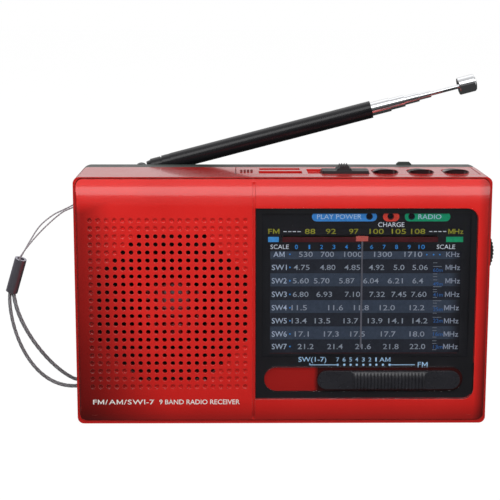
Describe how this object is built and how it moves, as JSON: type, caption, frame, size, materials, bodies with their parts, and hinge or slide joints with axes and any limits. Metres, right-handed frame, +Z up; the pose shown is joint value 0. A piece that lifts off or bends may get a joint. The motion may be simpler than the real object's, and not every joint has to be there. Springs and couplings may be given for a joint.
{
  "type": "portable shortwave receiver",
  "caption": "Pocket multiband radio with perforated speaker panel, printed tuning dial, band slider, top keys, battery door, wrist strap and swivelling telescopic aerial.",
  "frame": {"origin": "on the table plane under the cabinet, centred on its width and on the cabinet's depth from the front face to the back face", "axes": "+X to the right of a person facing the front, +Y from the front to the back, +Z up"},
  "size_m": [0.1683, 0.0508, 0.1155],
  "materials": {
    "red_gloss": "glossy painted red",
    "grey_plastic": "satin dark grey",
    "black_gloss": "glossy black",
    "black_matte": "matte black",
    "dial_glass": "clear tinted acrylic",
    "dial_print": "black screen-printed sheet",
    "pointer_coral": "coral red",
    "white_plastic": "satin white",
    "chrome": "polished",
    "steel": "bright zinc",
    "brass": "bright",
    "board": "green solder mask",
    "component": "moulded",
    "battery_wrap": "shrink wrap",
    "ferrite": "sintered",
    "copper_wire": "enamelled wire",
    "speaker_frame": "zinc plated",
    "speaker_paper": "black pulp",
    "dust_cap": "polished dome",
    "magnet": "ground",
    "wire_cover": "soft vinyl",
    "led": "clear tinted",
    "cord": "waxed",
    "strap_grey": "braided nylon",
    "strap_thin": "fine braided",
    "strap_bead": "satin lilac grey",
    "tube_black": "glossy black lacquer"
  },
  "bodies": {
    "cabinet": {"front_cabinet": "red_gloss", "middle_frame": "red_gloss", "top_panel": "red_gloss", "rear_cabinet": "grey_plastic", "battery_pack": "battery_wrap", "battery_contacts": "brass", "dial_window": "dial_glass", "dial_plate": "dial_print", "dial_cord": "cord", "tuning_axle": "steel", "tuning_capacitor": "white_plastic", "volume_control": "component", "band_switch": "steel", "function_switch": "steel", "tact_switches": "component", "key_board": "board", "main_board": "board", "board_components": "component", "usb_socket": "steel", "card_socket": "steel", "indicator_leds": "led", "ferrite_rod": "ferrite", "ferrite_coil": "copper_wire", "speaker_basket": "speaker_frame", "speaker_cone": "speaker_paper", "speaker_dust_cap": "dust_cap", "speaker_magnet": "magnet", "jack_board": "board", "earphone_jack": "black_matte", "charging_jack": "steel", "case_screws": "steel", "inner_screws": "steel", "wiring": "wire_cover", "strap_pin": "chrome"},
    "tuning_wheel_body": {"tuning_wheel": "black_matte"},
    "drum_body": {"cord_drum": "white_plastic"},
    "pointer_body": {"tuning_pointer": "pointer_coral"},
    "volume_body": {"volume_wheel": "black_matte", "volume_wheel_screw": "steel"},
    "band_slider_body": {"band_slider": "black_gloss"},
    "function_knob_body": {"function_knob": "black_matte"},
    "previous_key": {"previous_button": "black_gloss"},
    "play_key": {"play_button": "black_gloss"},
    "next_key": {"next_button": "black_gloss"},
    "door_body": {"battery_door": "grey_plastic"},
    "strap_body": {"strap_thin_cord": "strap_thin", "strap_bead": "strap_bead", "strap_cord": "strap_grey"},
    "aerial_foot": {"aerial_swivel": "chrome", "aerial_hinge_pin": "steel", "aerial_screw": "steel"},
    "aerial_tube": {"aerial_knuckle": "chrome", "aerial_base_tube": "tube_black"},
    "aerial_stage_2": {"aerial_section_2": "chrome"},
    "aerial_stage_3": {"aerial_section_3": "chrome"},
    "aerial_stage_4": {"aerial_section_4": "chrome"},
    "aerial_stage_5": {"aerial_section_5": "chrome"},
    "aerial_tip": {"aerial_tip_rod": "chrome", "aerial_tip_cap": "chrome"}
  },
  "joints": [
    {"name": "tuning_turn", "type": "hinge", "parent": "cabinet", "child": "tuning_wheel_body", "pos_m": [0.0597, -0.007, 0.0573], "axis": [0, 1, 0], "range_deg": [-196, 176]},
    {"name": "pointer_travel", "type": "slide", "parent": "cabinet", "child": "pointer_body", "axis": [1, 0, 0], "range_m": [-0.0217, 0.0195]},
    {"name": "drum_turn", "type": "hinge", "parent": "cabinet", "child": "drum_body", "pos_m": [0.026, -0.007, 0.03762], "axis": [0, 1, 0], "range_deg": [-83.5, 93]},
    {"name": "volume_turn", "type": "hinge", "parent": "cabinet", "child": "volume_body", "pos_m": [0.0602, -0.007, 0.028], "axis": [0, 1, 0], "range_deg": [-140, 140]},
    {"name": "band_select", "type": "slide", "parent": "cabinet", "child": "band_slider_body", "axis": [1, 0, 0], "range_m": [-0.0176, 0]},
    {"name": "function_select", "type": "slide", "parent": "cabinet", "child": "function_knob_body", "axis": [1, 0, 0], "range_m": [-0.0044, 0]},
    {"name": "previous_press", "type": "slide", "parent": "cabinet", "child": "previous_key", "axis": [0, 0, 1], "range_m": [-0.0006, 0], "stiffness_N_per_m": 400},
    {"name": "play_press", "type": "slide", "parent": "cabinet", "child": "play_key", "axis": [0, 0, 1], "range_m": [-0.0006, 0], "stiffness_N_per_m": 400},
    {"name": "next_press", "type": "slide", "parent": "cabinet", "child": "next_key", "axis": [0, 0, 1], "range_m": [-0.0006, 0], "stiffness_N_per_m": 400},
    {"name": "door_slide", "type": "slide", "parent": "cabinet", "child": "door_body", "axis": [1, 0, 0], "range_m": [0, 0.06]},
    {"name": "strap_swing", "type": "hinge", "parent": "cabinet", "child": "strap_body", "pos_m": [-0.0672, 0.002, 0.0736], "axis": [0, 1, 0], "range_deg": [0, 70]},
    {"name": "aerial_turn", "type": "hinge", "parent": "cabinet", "child": "aerial_foot", "pos_m": [-0.049, 0.0197, 0.075], "axis": [0, 0, 1], "range_deg": [0, 180]},
    {"name": "aerial_raise", "type": "hinge", "parent": "aerial_foot", "child": "aerial_tube", "pos_m": [-0.049, 0.0197, 0.0818], "axis": [0, -1, 0], "range_deg": [-14.7, 75.3]},
    {"name": "aerial_draw_2", "type": "slide", "parent": "aerial_tube", "child": "aerial_stage_2", "axis": [0.9673, 0, 0.2538], "range_m": [-0.0062, 0.058]},
    {"name": "aerial_draw_3", "type": "slide", "parent": "aerial_stage_2", "child": "aerial_stage_3", "axis": [0.9673, 0, 0.2538], "range_m": [-0.0046, 0.057]},
    {"name": "aerial_draw_4", "type": "slide", "parent": "aerial_stage_3", "child": "aerial_stage_4", "axis": [0.9673, 0, 0.2538], "range_m": [-0.0046, 0.056]},
    {"name": "aerial_draw_5", "type": "slide", "parent": "aerial_stage_4", "child": "aerial_stage_5", "axis": [0.9673, 0, 0.2538], "range_m": [-0.0038, 0.055]},
    {"name": "aerial_draw_tip", "type": "slide", "parent": "aerial_stage_5", "child": "aerial_tip", "axis": [0.9673, 0, 0.2538], "range_m": [-0.0094, 0.047]}
  ],
  "couplings": [
    {"joint": "pointer_travel", "follows": "tuning_turn", "m_per_rad": 0.0063},
    {"joint": "drum_turn", "follows": "tuning_turn", "ratio": -0.47085}
  ]
}
